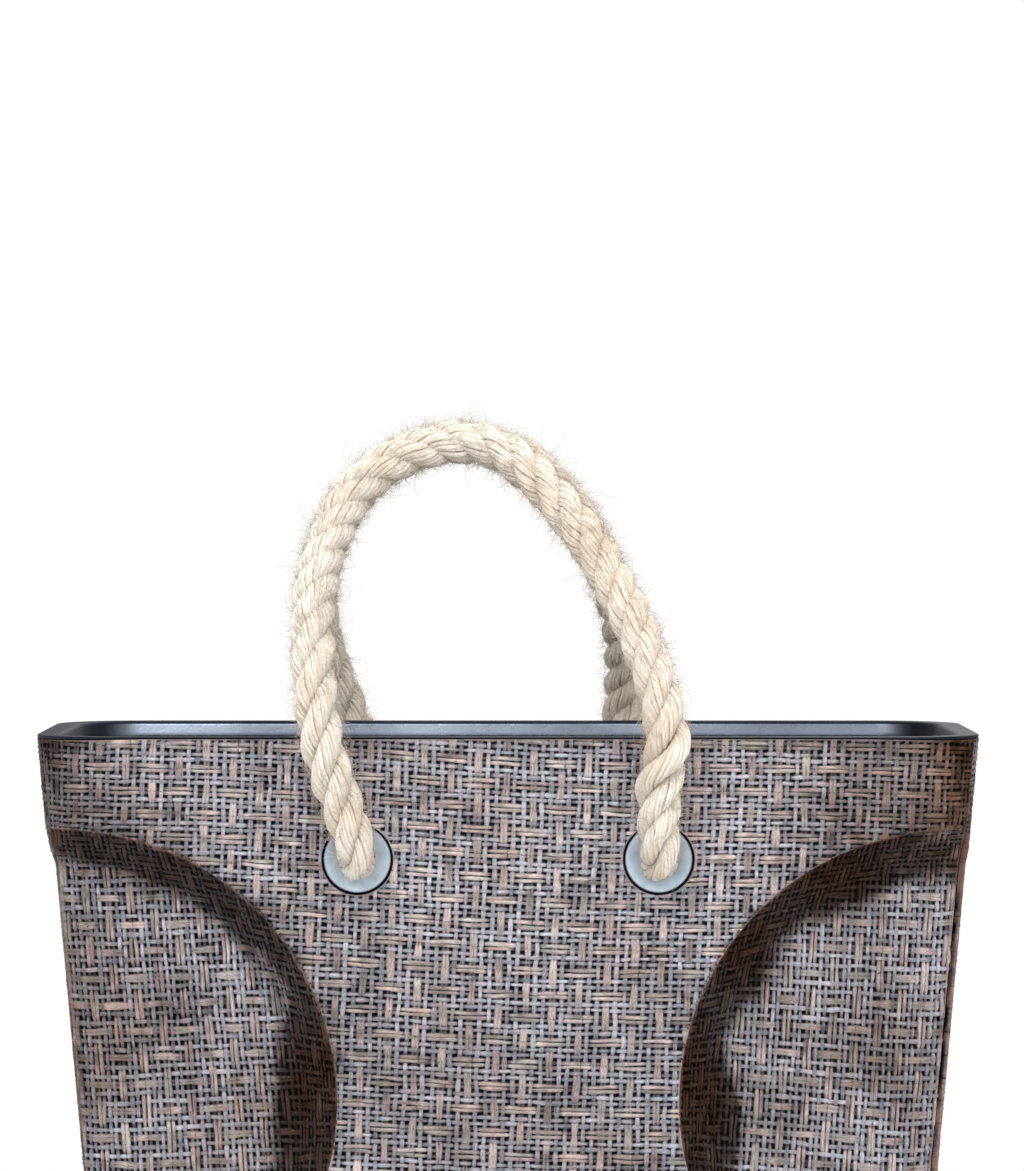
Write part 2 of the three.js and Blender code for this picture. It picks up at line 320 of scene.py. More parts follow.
def loose_fibres(rng, line, girth, lengths, curls, steps):
    """Thin curved tubes that start in the rope's surface and stand off it."""
    tangents, across, other = carried_frame(line, (1, 0, 0))
    count = len(lengths)
    bare = round(BARE_END / YARN_STEP)
    place = rng.integers(bare, len(line) - bare, count)
    turn = rng.uniform(0, 2 * math.pi, count)
    radial = np.cos(turn)[:, None] * across[place] + np.sin(turn)[:, None] * other[place]
    start = line[place] + radial * (girth[place] * rng.uniform(0.85, 1.0, count))[:, None]
    lean = rng.normal(0, 0.5, (count, 3))
    heading = unit(0.7 * radial + lean + tangents[place] * rng.normal(0.2, 0.9, count)[:, None])
    bend = rng.normal(0, 1, (count, 3)) - 0.5 * radial
    bend = unit(bend - heading * (bend * heading).sum(-1, keepdims=True))
    share = np.linspace(0, 1, steps)[None, :, None]
    sweep = curls[:, None, None] * share
    size = (lengths / curls)[:, None, None]
    centres = start[:, None] + size * (np.sin(sweep) * heading[:, None] + (1 - np.cos(sweep)) * bend[:, None])
    radii = rng.uniform(0.05, 0.11, count)[:, None] * (1.1 - 0.8 * share[:, :, 0])
    flat = np.broadcast_to(np.cross(heading, bend)[:, None], centres.shape)
    points, faces, _ = tubes(centres, flat, radii, 3)
    tone = np.broadcast_to(rng.uniform(-1, 1, count)[:, None, None], points.shape[:3])
    return points.reshape(-1, 3), faces, tone.ravel()


def rope_hairs(name, line, girth, material, seed, short, long):
    """The rope's fuzz: many short fibres, and a few long curly ones."""
    rng = np.random.default_rng(seed)
    fuzz = loose_fibres(rng, line, girth, rng.gamma(2.5, 1.3, short) + 0.8, rng.uniform(0.2, 2.2, short), 5)
    curly = loose_fibres(rng, line, girth, rng.uniform(8, 20, long), rng.uniform(1.5, 4.5, long), 14)
    faces = fuzz[1] + [group + len(fuzz[0]) for group in curly[1]]
    quads = np.concatenate(faces[0::2])
    triangles = np.concatenate(faces[1::2])
    points = np.concatenate([fuzz[0], curly[0]])
    tone = np.concatenate([fuzz[2], curly[2]])
    return make_mesh(name, points, [quads, triangles], material, values={"tone": tone})


# ---------------------------------------------------------------- materials


class Nodes:
    """A short way to write a material's node tree."""

    def __init__(self, name):
        self.material = bpy.data.materials.new(name)
        self.material.use_nodes = True
        self.tree = self.material.node_tree
        self.shader = self.tree.nodes["Principled BSDF"]

    def link(self, source, target):
        self.tree.links.new(source, target)

    def put(self, socket, value):
        if isinstance(value, bpy.types.NodeSocket):
            self.link(value, socket)
        elif isinstance(value, tuple) and len(value) == 3 and socket.type == "RGBA":
            socket.default_value = (*value, 1)
        else:
            socket.default_value = value

    def attribute(self, name, output="Fac"):
        node = self.tree.nodes.new("ShaderNodeAttribute")
        node.attribute_name = name
        return node.outputs[output]

    def place(self):
        return self.tree.nodes.new("ShaderNodeTexCoord").outputs["Object"]

    def math(self, operation, a, b=0.0, c=0.0):
        node = self.tree.nodes.new("ShaderNodeMath")
        node.operation = operation
        for socket, value in zip(node.inputs, (a, b, c)):
            self.put(socket, value)
        return node.outputs[0]

    def scaled(self, vector, scale):
        node = self.tree.nodes.new("ShaderNodeVectorMath")
        node.operation = "MULTIPLY"
        self.put(node.inputs[0], vector)
        node.inputs[1].default_value = scale
        return node.outputs[0]

    def noise(self, vector, scale, detail=2.0, roughness=0.5):
        node = self.tree.nodes.new("ShaderNodeTexNoise")
        self.put(node.inputs["Vector"], vector)
        node.inputs["Scale"].default_value = scale
        node.inputs["Detail"].default_value = detail
        node.inputs["Roughness"].default_value = roughness
        return node.outputs["Fac"]

    def ramp(self, value, *stops):
        node = self.tree.nodes.new("ShaderNodeValToRGB")
        self.put(node.inputs[0], value)
        elements = node.color_ramp.elements
        while len(elements) < len(stops):
            elements.new(0.5)
        for element, (position, colour) in zip(elements, stops):
            element.position = position
            grey = (colour,) * 3 if isinstance(colour, (int, float)) else colour
            element.color = (*grey, 1)
        return node.outputs["Color"]

    def mix(self, amount, a, b, blend="MIX"):
        node = self.tree.nodes.new("ShaderNodeMix")
        node.data_type = "RGBA"
        node.blend_type = blend
        self.put(node.inputs["Factor"], amount)
        self.put(node.inputs[6], a)
        self.put(node.inputs[7], b)
        return node.outputs[2]

    def bump(self, height, distance, strength=1.0):
        node = self.tree.nodes.new("ShaderNodeBump")
        self.put(node.inputs["Height"], height)
        node.inputs["Distance"].default_value = distance
        node.inputs["Strength"].default_value = strength
        self.link(node.outputs["Normal"], self.shader.inputs["Normal"])

    def set(self, **sockets):
        for name, value in sockets.items():
            self.put(self.shader.inputs[name.replace("_", " ").title()], value)


def linear(red, green, blue):
    """A colour on the usual 0 to 255 scale as linear light."""
    def one(level):
        share = level / 255
        return share / 12.92 if share <= 0.04045 else ((share + 0.055) / 1.055) ** 2.4
    return (one(red), one(green), one(blue))


def weave_material(name, single, pair):
    """Yarns over crevices that are darkened as painted shade, with fibre streaks along each yarn, a darkening
    that is partly stain and partly painted shade, and a pale line on the cut edges that is partly the cut
    yarns and partly painted highlight.
    """
    n = Nodes(name)
    fibre = n.attribute("fibre", "Vector")
    streak = n.noise(n.scaled(fibre, (0.55, 4.4, 1.0)), 1.0, 3.0, 0.65)
    blotch = n.noise(n.place(), 60.0, 3.0, 0.6)
    mottle = n.noise(n.place(), 22.0, 4.0, 0.65)
    yarn = n.mix(n.attribute("pair"), single, pair)
    tone = n.math("MULTIPLY_ADD", n.attribute("tone"), 0.16, 0.5)
    tone = n.math("ADD", tone, n.math("MULTIPLY_ADD", streak, 1.7, -0.85))
    tone = n.math("ADD", tone, n.math("MULTIPLY_ADD", blotch, 0.5, -0.25))
    yarn = n.mix(1.0, yarn, n.ramp(tone, (0.0, 0.2), (0.5, 0.93), (1.0, 2.0)), "MULTIPLY")
    dye = n.noise(n.scaled(fibre, (0.09, 0.35, 3.1)), 1.0, 1.0, 0.5)
    dyes = n.ramp(dye, (0.36, (0.88, 0.97, 0.96)), (0.5, (1.0, 0.97, 0.95)), (0.64, (1.08, 0.96, 0.96)))
    yarn = n.mix(1.0, yarn, dyes, "MULTIPLY")
    # Painted shade: the low parts of the yarns blend towards a near-black crevice colour, standing in for the
    # shade in the gaps of the weave.
    depth = n.ramp(n.attribute("lift"), (0.24, 0.0), (0.46, 0.3), (0.64, 0.74), (0.88, 1.0))
    crevice_shade = n.ramp(blotch, (0.35, linear(4, 5, 8)), (0.65, linear(24, 26, 34)))
    cloth = n.mix(depth, crevice_shade, yarn)
    grain = n.noise(n.place(), 130.0, 3.0, 0.6)
    # Partly stain, partly painted shade: this mask takes the cloth towards near-black brown, as painted shade
    # on the dent walls and corners and as mottled stain elsewhere.
    worn_and_shaded = n.math("MULTIPLY", n.attribute("patina_and_shade"), n.ramp(mottle, (0.3, 0.35), (0.6, 1.25)))
    worn_and_shaded = n.math("MULTIPLY", worn_and_shaded, n.ramp(grain, (0.3, 1.35), (0.7, 0.75)))
    spared = n.math("MULTIPLY_ADD", depth, -0.1, 1.0)
    worn_and_shaded = n.math("MULTIPLY", n.math("MINIMUM", worn_and_shaded, 1.0), spared)
    cloth = n.mix(worn_and_shaded, cloth, n.mix(0.92, cloth, linear(20, 16, 15)))
    # A pale pinkish line along the cloth's cut edges: partly the cut yarns' own colour, partly a painted
    # highlight where the edge catches the light.
    frayed_highlight = n.math("MULTIPLY", n.attribute("hem"), n.ramp(blotch, (0.4, 0.0), (0.62, 0.75)))
    hem = n.mix(frayed_highlight, cloth, linear(140, 118, 110))
    warm = n.mix(n.attribute("brown"), hem, n.mix(1.0, hem, linear(200, 160, 132), "MULTIPLY"))
    n.set(base_color=warm, roughness=n.ramp(streak, (0.2, 0.62), (0.8, 0.9)))
    undarkened = n.math("SUBTRACT", 1.0, worn_and_shaded)
    n.put(n.shader.inputs["Specular IOR Level"], n.math("MULTIPLY", n.math("MULTIPLY", undarkened, depth), 0.35))
    n.bump(streak, 0.0002, 0.8)
    return n.material


def jute_material():
    n = Nodes("jute_rope")
    fibre = n.attribute("fibre", "Vector")
    streak = n.noise(n.scaled(fibre, (0.16, 4.0, 1.0)), 1.0, 4.0, 0.7)
    blotch = n.noise(n.place(), 35.0, 3.0, 0.6)
    tone = n.math("MULTIPLY_ADD", n.attribute("tone"), 0.07, 0.5)
    tone = n.math("ADD", tone, n.math("MULTIPLY_ADD", streak, 1.1, -0.57))
    tone = n.math("ADD", tone, n.math("MULTIPLY_ADD", blotch, 0.6, -0.3))
    colour = n.ramp(
        tone, (0.1, linear(190, 172, 150)), (0.42, linear(228, 217, 202)),
        (0.65, linear(244, 239, 230)), (0.95, linear(253, 251, 246)),
    )
    # Painted shade: yarn surfaces that lie deeper towards the rope's axis are darkened, standing in for the
    # shade between strands and yarns.
    seam_shade = n.ramp(n.attribute("from_axis"), (0.5, 0.68), (0.8, 1.0))
    patches = n.ramp(n.noise(n.place(), 30.0, 3.0, 0.6), (0.46, 1.0), (0.64, (0.97, 0.92, 0.87)))
    colour = n.mix(1.0, colour, patches, "MULTIPLY")
    n.set(base_color=n.mix(1.0, colour, seam_shade, "MULTIPLY"), roughness=0.9)
    n.shader.inputs["Specular IOR Level"].default_value = 0.2
    n.bump(streak, 0.0006, 0.9)
    return n.material


def hair_material():
    n = Nodes("jute_fibre")
    # Painted shade: the loose fibres get a darker, greyer copy of the rope's colour, standing in for fibres
    # seen in shade and against the light.
    colour = n.ramp(n.attribute("tone"), (0.0, linear(172, 160, 144)), (1.0, linear(222, 212, 198)))
    n.set(base_color=colour, roughness=0.9)
    return n.material


def tub_material():
    """Dark glossy lacquer with a faint brushed unevenness, and a painted reflection: a light blue-grey,
    partly metallic colour on the inner bead, where the lip attribute is set.
    """
    n = Nodes("tub_lacquer")
    broad = n.noise(n.place(), 14.0, 2.0, 0.5)
    fine = n.noise(n.place(), 260.0, 2.0, 0.6)
    dark = n.ramp(broad, (0.3, linear(18, 21, 28)), (0.7, linear(34, 38, 48)))
    # Painted reflection: a light blue-grey colour for the inner bead, mixed in by the lip attribute.
    bead_reflection = n.ramp(broad, (0.3, linear(94, 100, 112)), (0.7, linear(125, 134, 147)))
    lip = n.attribute("lip")
    gloss = n.mix(lip, (0.55, 0.55, 0.55), n.ramp(fine, (0.2, 0.22), (0.8, 0.36)))
    n.set(base_color=n.mix(lip, dark, bead_reflection), roughness=gloss)
    n.set(metallic=n.math("MULTIPLY", lip, 0.9))
    n.put(n.shader.inputs["Specular IOR Level"], n.math("MULTIPLY_ADD", lip, 0.45, 0.05))
    n.bump(n.math("ADD", n.math("MULTIPLY", broad, 6.0), fine), 0.0002, 0.5)
    return n.material


def zinc_material():
    """Satin plated steel with small marks."""
    n = Nodes("zinc_plate")
    cloud = n.noise(n.place(), 120.0, 4.0, 0.6)
    marks = n.noise(n.place(), 700.0, 3.0, 0.7)
    colour = n.ramp(cloud, (0.3, linear(146, 162, 175)), (0.7, linear(180, 194, 206)))
    n.set(base_color=colour, roughness=n.ramp(marks, (0.3, 0.26), (0.75, 0.48)))
    n.shader.inputs["Metallic"].default_value = 0.1
    n.bump(n.math("ADD", cloud, marks), 0.00015, 0.5)
    return n.material


def pad_material():
    n = Nodes("pad_rubber")
    grain = n.noise(n.place(), 900.0, 3.0, 0.6)
    n.set(base_color=n.ramp(grain, (0.3, linear(26, 26, 28)), (0.7, linear(48, 47, 48))), roughness=0.85)
    n.bump(grain, 0.0002, 0.6)
    return n.material


def floor_material():
    n = Nodes("pale_floor")
    n.set(base_color=n.ramp(n.noise(n.place(), 8.0), (0.3, 0.80), (0.7, 0.84)), roughness=0.8)
    return n.material


# ---------------------------------------------------------------- camera, light and floor


def add_camera():
    data = bpy.data.cameras.new("camera")
    data.lens = 180
    data.clip_end = 20
    data.sensor_width = 36
    camera = bpy.data.objects.new("camera", data)
    camera.location = (0.0017, -2.59, 0.419)
    camera.rotation_euler = (math.radians(89.01), 0, 0)
    bpy.context.scene.collection.objects.link(camera)
    bpy.context.scene.camera = camera


def add_area_light(name, place, target, size, power, colour=(1, 1, 1)):
    data = bpy.data.lights.new(name, "AREA")
    data.size = size
    data.energy = power
    data.color = colour
    light = bpy.data.objects.new(name, data)
    light.location = place
    light.rotation_mode = "QUATERNION"
    light.rotation_quaternion = (Vector(target) - Vector(place)).to_track_quat("-Z", "Y")
    bpy.context.scene.collection.objects.link(light)


def add_studio():
    scene = bpy.context.scene
    scene.view_settings.view_transform = "Standard"
    world = bpy.data.worlds.new("studio")
    world.use_nodes = True
    background = world.node_tree.nodes["Background"]
    background.inputs["Color"].default_value = (1, 1, 1, 1)
    background.inputs["Strength"].default_value = 1.0
    scene.world = world
    add_area_light("key", (-0.7, -1.0, 1.1), (0, 0, 0.25), 0.6, 4)
    add_area_light("fill", (0.2, -1.9, 0.7), (0, 0, 0.3), 1.8, 8)
    add_area_light("right", (1.0, -0.9, 0.9), (0, 0, 0.35), 0.8, 4)
    add_area_light("back", (0.3, 1.3, 1.1), (0, 0, 0.38), 0.8, 7)
    add_area_light("top", (-0.2, -0.8, 1.35), (0.03, 0.05, 0.36), 0.5, 7)
    radius, sides = 500, 96
    turn = np.arange(sides) * 2 * math.pi / sides
    rim = np.stack([radius * np.cos(turn), radius * np.sin(turn), np.full(sides, -0.5)], -1)
    floor = make_mesh("floor", rim, [np.arange(sides)[None]], floor_material())


# ---------------------------------------------------------------- handles

# The routes of the two handles: the place along X, the distance in from the turning line, the height.
FRONT_ROUTE = [
    (-67, 0, 271), (-71.5, 0, 286), (-77, 0, 302), (-81, 1.5, 320), (-83, 9, 342),
    (-83.5, 25, 365), (-80, 46, 388), (-71.5, 64, 409), (-58.5, 76.5, 424), (-41.5, 85, 433.5),
    (-22, 90, 438), (-3, 88, 433.5), (15.5, 76, 418.5), (33.5, 57, 396.5), (47.5, 37, 372.5),
    (58, 18, 350), (64.5, 5, 328), (67, 0.5, 309), (65, 0, 290), (64, 0, 273),
]
BACK_ROUTE = [
    (-62, 0, 274.5), (-66, 0, 289.5), (-70.5, 0, 305.5), (-77, 3, 324), (-84, 14, 344.5),
    (-87, 31, 366.5), (-83, 50, 388.5), (-73, 67, 409), (-58, 80, 425), (-39, 88, 435),
    (-18, 90, 438), (3, 86, 432), (21, 76, 418), (37, 59, 395.5), (48, 38, 369.5),
    (53, 18, 346.5), (53.5, 5, 327), (52.5, 0.5, 310), (54, 0, 293.5), (57.5, 0, 276.5),
]


# The rope's places at an eyelet, from the inside outwards: the distance out of the face and up it.
THROUGH_EYELET = ((-9.5, -1), (0, -1), (7.0, -0.6), (12.6, 4.4))


def face_frame(side):
    """The face's place at the eyelets' height, and its directions out, up and across."""
    lean = math.atan((RIM_DEPTH - BASE_DEPTH) / 2 / HEIGHT)
    origin = np.array([0, side * half_depth(EYELET_Z), EYELET_Z])
    out = np.array([0, side * math.cos(lean), -math.sin(lean)])
    up = np.array([0, side * math.sin(lean), math.cos(lean)])
    return origin, out, up, np.cross(up, out)


def face_point(side, x, out, up=0.0):
    origin, normal, upward, _ = face_frame(side)
    return origin + normal * out + upward * up + np.array([x, 0, 0])


def handle_line(side, route):
    """From behind the wall, out through one eyelet, over the arch and back in through the other."""
    turning = face_point(side, 0, PIVOT_OUT)[1]
    arch = [(x, turning - side * inward, z) for x, inward, z in route]
    leave = [face_point(side, -EYELET_X, out, up) for out, up in THROUGH_EYELET]
    enter = [face_point(side, EYELET_X, out, up) for out, up in THROUGH_EYELET[::-1]]
    return smooth_line([*leave, *arch, *enter], YARN_STEP)


def handle_girth(line):
    """Thinner where the rope is squeezed through the eyelets, and full on the arch."""
    along = np.linspace(0, 1, len(line)) * YARN_STEP * len(line)
    from_end = np.minimum(along, along[-1] - along)
    return 7.9 + 1.6 * smoothstep(10, 42, from_end)


def knot_line(side, x):
    """A stopper knot behind the wall: the rope runs in, wraps round itself and leaves along its axis."""
    origin, out, up, across = face_frame(side)
    points = []
    for depth in (9.5, 13):
        points.append((depth, 0.0, 0.0))
    turns = 1.3
    for step in range(13):
        share = step / 12
        angle = 2 * math.pi * turns * share
        points.append((19 + 24 * share, 11.5 * math.cos(angle), 11.5 * math.sin(angle)))
    for depth in (52, 60, 68):
        points.append((depth, 0.0, 0.0))
    placed = [origin + np.array([x, 0, 0]) - out * d + up * a + across * b for d, a, b in points]
    return smooth_line(placed, YARN_STEP)


def add_handles(jute, hair):
    routes = {"front": FRONT_ROUTE, "back": BACK_ROUTE}
    for number, (side_name, side) in enumerate(SIDES):
        line = handle_line(side, routes[side_name])
        girth = handle_girth(line)
        length = (len(line) - 1) * np.linalg.norm(line[1] - line[0])
        bulges = [(1, length - 62, 16, 2.2)] if side < 0 else []
        rope = rope_mesh(f"rope_handle_{side_name}", line, girth, jute, 11 + number, bulges)
        hairs = rope_hairs(f"rope_fibres_{side_name}", line, girth, hair, 21 + number, 9500, 230)
        for piece in (rope, hairs):
            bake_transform(piece)
        ends = [f"rope_end_{side_name}_{hand_name}" for hand_name, _ in HANDS]
        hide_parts(f"rope_{side_name}", *ends)
        for hand_name, hand in HANDS:
            knot_path = knot_line(side, hand * EYELET_X)
            knot_girth = np.full(len(knot_path), 9.0)
            knot_name = f"stopper_{side_name}_{hand_name}"
            knot = rope_mesh(knot_name, knot_path, knot_girth, jute, 31 + number + hand)
            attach(knot, "basket")
            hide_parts(f"knot_{side_name}_{hand_name}")


# ---------------------------------------------------------------- turned fittings


def turned(name, profile, side, x, material, segments=72):
    """A closed profile of (radius, distance out of the face), turned about the face's normal."""
    origin, out, up, across = face_frame(side)
    profile = np.asarray(profile, float)
    turn = np.arange(segments) * 2 * math.pi / segments
    ring = np.cos(turn)[:, None] * across + np.sin(turn)[:, None] * up
    points = origin + np.array([x, 0, 0]) + profile[:, :1, None] * ring[None] + profile[:, 1:, None] * out
    count = len(profile)
    quads = grid_faces(count + 1, segments, closed=True) % (count * segments)
    return make_mesh(name, points.reshape(-1, 3), [quads], material)


def rounded(profile, radius, steps=4):
    """The closed profile again, with its corners cut by small arcs."""
    profile = [np.asarray(p, float) for p in profile]
    result = []
    for before, point, after in zip([profile[-1]] + profile[:-1], profile, profile[1:] + profile[:1]):
        back, ahead = before - point, after - point
        reach = min(radius, 0.45 * np.linalg.norm(back), 0.45 * np.linalg.norm(ahead))
        first = point + back / np.linalg.norm(back) * reach
        last = point + ahead / np.linalg.norm(ahead) * reach
        for step in range(steps + 1):
            t = step / steps
            result.append((1 - t) ** 2 * first + 2 * t * (1 - t) * point + t * t * last)
    return np.array(result)


def eyelet_profile():
    inner = -(CAVITY_INSET + WASHER_THICK)
    dish = []
    for step in range(15):
        share = step / 14
        radius = EYELET_RIM - 0.5 + (EYELET_HOLE - EYELET_RIM + 0.5) * share
        dish.append((radius, -0.4 - 1.7 * share**1.5))
    edge = [(EYELET_BARREL, -SKIN), (EYELET_RIM, -SKIN), (EYELET_RIM, -0.9)]
    return [*dish, (EYELET_HOLE, inner), (EYELET_BARREL, inner), *edge]


def add_fittings(zinc):
    for side_name, side in SIDES:
        for hand_name, hand in HANDS:
            place = f"{side_name}_{hand_name}"
            dish = rounded(eyelet_profile(), 0.35)
            eyelet = turned(f"dished_eyelet_{place}", dish, side, hand * EYELET_X, zinc)
            outer = -(CAVITY_INSET + 0.3)
            inner = outer - WASHER_THICK
            hole = EYELET_BARREL + 0.3
            corners = [(hole, inner), (WASHER_RADIUS, inner), (WASHER_RADIUS, outer), (hole, outer)]
            washer = turned(f"flat_washer_{place}", rounded(corners, 0.4), side, hand * EYELET_X, zinc)
            for piece, node, name in ((eyelet, "eyelet", "eyelet"), (washer, "washer", "washer")):
                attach(piece, "basket")
                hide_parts(f"{node}_{place}")


def add_feet(rubber):
    segments = 48
    turn = np.arange(segments) * 2 * math.pi / segments
    top = FOOT_HEIGHT - 0.3
    profile = [(FOOT_RADIUS - 0.4, top), (FOOT_RADIUS, top - 0.4)]
    profile += [(FOOT_RADIUS, 0.7), (FOOT_RADIUS - 0.7, 0.15)]
    profile += [(FOOT_RADIUS - 1.6, 0.0), (7.6, 0.0), (7.2, 0.5), (6.4, 0.5), (6.0, 0.0), (0.6, 0.0)]
    for side_name, side in SIDES:
        for hand_name, hand in HANDS:
            x = hand * (BASE_WIDTH / 2 - FOOT_INSET)
            y = side * (BASE_DEPTH / 2 - FOOT_INSET)
            rings = []
            for r, z in profile:
                ring = [x + r * np.cos(turn), y - r * np.sin(turn), np.full(segments, z)]
                rings.append(np.stack(ring, -1))
            points = np.concatenate(rings)
            last = (len(profile) - 1) * segments
            caps = [np.arange(segments)[None, ::-1], last + np.arange(segments)[None]]
            quads = grid_faces(len(profile), segments, closed=True)
            foot = make_mesh(f"rubber_foot_{side_name}_{hand_name}", points, [quads, *caps], rubber)
            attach(foot, "basket")
            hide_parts(f"foot_{side_name}_{hand_name}")


# ---------------------------------------------------------------- tub


def tub_ring(inset, z, dented):
    """A closed ring of points round the basket's section at one height, moved in by an inset."""
    radius = max(CORNER_RADIUS - inset, INNER_RADIUS)
    half_x, half_y = half_width(z) - inset, half_depth(z) - inset
    phi = np.linspace(0, math.pi / 2, 10)[1:]
    flat = np.linspace(0, half_x - radius, 46)
    x = np.concatenate([flat, half_x - radius + radius * np.sin(phi)])
    depth = inset + np.concatenate([np.zeros(len(flat)), radius * (1 - np.cos(phi))])
    if dented:
        slant = math.hypot(DENT_DEPTH, DENT_WALL_RUN)
        reach = DENT_RADIUS + inset * slant / DENT_DEPTH
        hollow = (reach - dent_distance(x, z)) * DENT_DEPTH / DENT_WALL_RUN - inset
        hollow = np.minimum(hollow, DENT_DEPTH)
        soft = 4.0 if inset > LINER_INSET else 0.1
        depth = depth + smooth_max(hollow, np.zeros(len(x)), soft)
    y = half_depth(z) - depth
    side_share = np.linspace(1, -1, 24)[1:-1]
    quarter = np.stack([x, y], -1)
    right = np.stack([np.full(22, half_x), y[-1] * side_share], -1)
    loop = np.concatenate([
        quarter * (1, 1), right, quarter[::-1] * (1, -1),
        quarter[1:] * (-1, -1), right[::-1] * (-1, 1), quarter[:0:-1] * (-1, 1),
    ])
    return np.column_stack([loop, np.full(len(loop), z)])


def flat_ring(ring, share_x, share_y, z):
    """A ring drawn in towards the middle, at one height."""
    drawn = ring * (share_x, share_y, 0)
    drawn[:, 2] = z
    return drawn


# How much painted reflection the lip's outer rings get; zero leaves them dark.
LIP_SHEEN = 0.0


def lip_droop(x):
    """How much further the lip comes down over the cloth towards the basket's ends."""
    return 0.8 * smoothstep(150, 200, np.abs(x))


def lip_rings():
    """The lip's section: out over the cloth, a rolled edge, a flat top, and a flared bead inside. Also how
    much painted reflection each ring gets: none over the lip and its top, full on the inner bead."""
    lip_bottom, roll, round_off = HEIGHT - LIP_HEIGHT, 0.4, 2.2
    bead_low = HEIGHT - BEAD_HEIGHT
    section = [(LINER_INSET, lip_bottom), (0.5, lip_bottom)]
    for turn in np.radians(np.linspace(-90, 90, 9)):
        section.append((roll * (1 - math.cos(turn)), lip_bottom + LIP_HEIGHT / 2 + roll * math.sin(turn)))
    section += [(3, HEIGHT), (6, HEIGHT), (8, HEIGHT)]
    for turn in np.radians(np.linspace(10, 80, 8)):
        drop = round_off * (1 - math.cos(turn))
        section.append((BEAD_INSET - 1.4 - round_off * (1 - math.sin(turn)), HEIGHT - drop))
    section += [(BEAD_INSET - 0.5, bead_low + 3.0), (BEAD_INSET, bead_low + 0.9)]
    section += [(BEAD_INSET - 0.7, bead_low), (CAVITY_INSET + 1, bead_low - 0.2)]
    rings = [tub_ring(inset, z, False) for inset, z in section]
    for ring, (inset, z) in zip(rings, section):
        if inset < BEAD_INSET / 3 and z < HEIGHT:
            ring[:, 2] -= lip_droop(ring[:, 0]) * (HEIGHT - z) / LIP_HEIGHT
    return rings, [LIP_SHEEN if inset < BEAD_INSET - 1.6 else 1.0 for inset, _ in section]


def add_tub(lacquer):
    """The tub as one loft: up the outside, over the lip, down the inside and across the floor."""
    heights = np.linspace(FOOT_HEIGHT, HEIGHT - LIP_HEIGHT - 0.4, 76)
    outside = [tub_ring(LINER_INSET, z, True) for z in heights]
    under = [flat_ring(outside[0], share, share, FOOT_HEIGHT) for share in (0.02, 0.3, 0.6, 0.9)]
    lip, sheen = lip_rings()
    depths = np.linspace(HEIGHT - BEAD_HEIGHT - 1.5, FLOOR_TOP + COVE, 74)
    inside = [tub_ring(CAVITY_INSET, z, True) for z in depths]
    cove = []
    for turn in np.linspace(0, math.pi / 2, 6)[1:]:
        drawn_in = 1 - math.cos(turn)
        height = FLOOR_TOP + COVE * (1 - math.sin(turn))
        cove.append(flat_ring(inside[-1], 1 - 0.025 * drawn_in, 1 - 0.05 * drawn_in, height))
    floor = [flat_ring(cove[-1], share, share, FLOOR_TOP) for share in (0.8, 0.6, 0.4, 0.2, 0.02)]
    rings = under + outside + lip + inside + cove + floor
    columns, count = len(rings[0]), len(rings)
    is_lip = np.zeros(count)
    is_lip[len(under + outside):len(under + outside + lip)] = sheen
    quads = grid_faces(count, columns, closed=True)
    caps = [np.arange(columns)[None, ::-1], (count - 1) * columns + np.arange(columns)[None]]
    points = np.concatenate(rings)
    # The lip attribute carries the painted reflection of the inner bead; it fades out towards the ends, where
    # the inner side walls are left dark.
    tub = make_mesh(
        "lacquered_tub", points, [quads, *caps], lacquer,
        values={"lip": np.repeat(is_lip, columns) * (1 - smoothstep(166, 184, np.abs(points[:, 0])))},
    )
    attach(tub, "basket")
    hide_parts("liner_tub")


# ---------------------------------------------------------------- woven cloth

# One cell of the weave is three columns wide, a single yarn, a pair and a single, and four rows high.
COLUMN_PITCH = 3.87
ROW_PITCH = 2.5
COLUMN_LINES = {
    "single": (-1.935, -1.12, -0.66, 0.0, 0.66, 1.12),
    "pair": (-1.935, -1.66, -0.86, 0.0, 0.86, 1.66),
}
COLUMN_PROFILE = {"single": (0.0, 0.2, 0.88, 1.0, 0.88, 0.2), "pair": (0.0, 0.4, 1.0, 0.66, 1.0, 0.4)}
ROW_LINES = (-1.25, -0.92, -0.42, 0.42, 0.92)
ROW_PROFILE = (0.0, 0.4, 1.0, 0.98, 0.4)
YARN_ROUND = 0.55
YARN_LIFT = 0.55
YARN_TABLE = 512
CLOTH_SINK = 0.75
SNAP_REACH = 2.0


def column_lines(low, high):
    """The lattice lines across the columns: place, column number and yarn profile."""
    places, numbers, profile = [], [], []
    for column in range(math.floor(low / COLUMN_PITCH), math.ceil(high / COLUMN_PITCH)):
        kind = "pair" if column % 3 == 1 else "single"
        for offset, height in zip(COLUMN_LINES[kind], COLUMN_PROFILE[kind]):
            places.append((column + 0.5) * COLUMN_PITCH + offset)
            numbers.append(column)
            profile.append(height)
    return np.array(places), np.array(numbers), np.array(profile)


def row_lines(low, high):
    places, numbers, profile = [], [], []
    for row in range(math.floor(low / ROW_PITCH), math.ceil(high / ROW_PITCH)):
        for offset, height in zip(ROW_LINES, ROW_PROFILE):
            places.append((row + 0.5) * ROW_PITCH + offset)
            numbers.append(row)
            profile.append(height)
    return np.array(places), np.array(numbers), np.array(profile)


def column_on_top(column, row):
    """Which yarn shows where a column and a row cross: cells alternate like a chequerboard, and the
    single columns tuck under at each cell's first and last row."""
    upright = (column // 3 + row // 4) % 2 == 0
    tucked = (column % 3 != 1) & ((row % 4 == 0) | (row % 4 == 3))
    return upright ^ tucked


